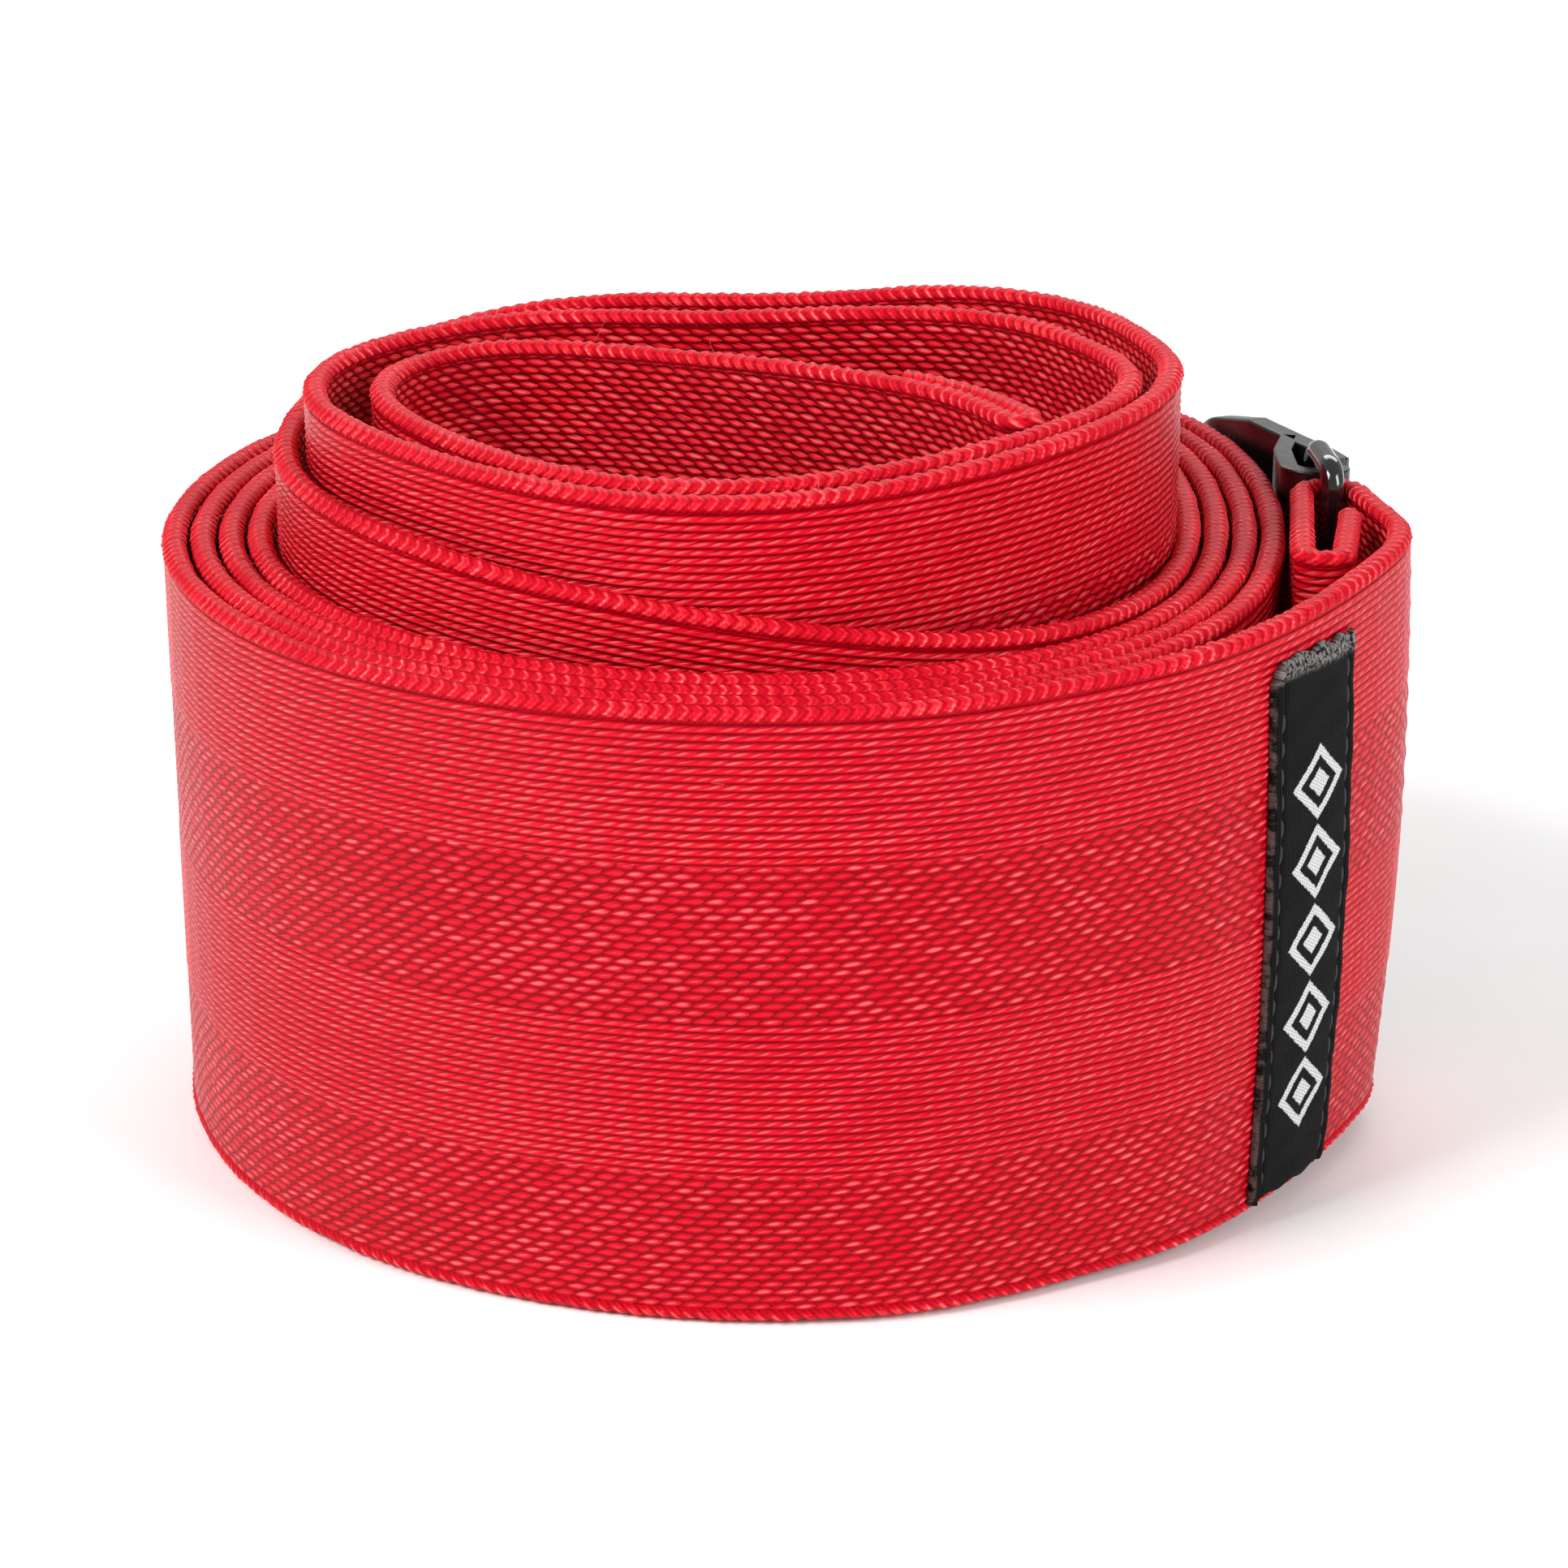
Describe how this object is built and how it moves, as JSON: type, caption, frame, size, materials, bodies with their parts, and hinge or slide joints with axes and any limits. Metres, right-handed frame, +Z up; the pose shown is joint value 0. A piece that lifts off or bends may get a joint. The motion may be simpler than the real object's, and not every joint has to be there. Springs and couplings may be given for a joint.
{
  "type": "luggage strap",
  "caption": "Rolled two-inch webbing cinch strap with a black wire ring, a hooked clamp plate and a woven label.",
  "frame": {"origin": "under the middle of the roll's box, on the surface that it stands on", "axes": "+Z up along the webbing's width, +X towards the ring, -Y towards the label's side"},
  "size_m": [0.1025, 0.0994, 0.0651],
  "materials": {
    "webbing": "woven polyester, slightly shiny",
    "label": "damask woven, matte",
    "black_thread": "twisted thread",
    "red_thread": "twisted thread",
    "wire": "glossy black",
    "plate": "glossy black"
  },
  "bodies": {
    "strap": {"webbing": "webbing", "woven_label": "label", "label_stitching": "black_thread", "loop_stitching": "red_thread", "hem_stitching": "red_thread"},
    "ring": {"wire_ring": "wire"},
    "plate": {"clamp_plate": "plate"}
  },
  "joints": [
    {"name": "ring_swing", "type": "hinge", "parent": "strap", "child": "ring", "pos_m": [0.04675, -0.00037, 0.0276], "axis": [0, 0, -1], "range_deg": [0, 60]},
    {"name": "plate_flip", "type": "hinge", "parent": "ring", "child": "plate", "pos_m": [0.0462, 0.00743, 0.0276], "axis": [0, 0, -1], "range_deg": [0, 90]}
  ]
}
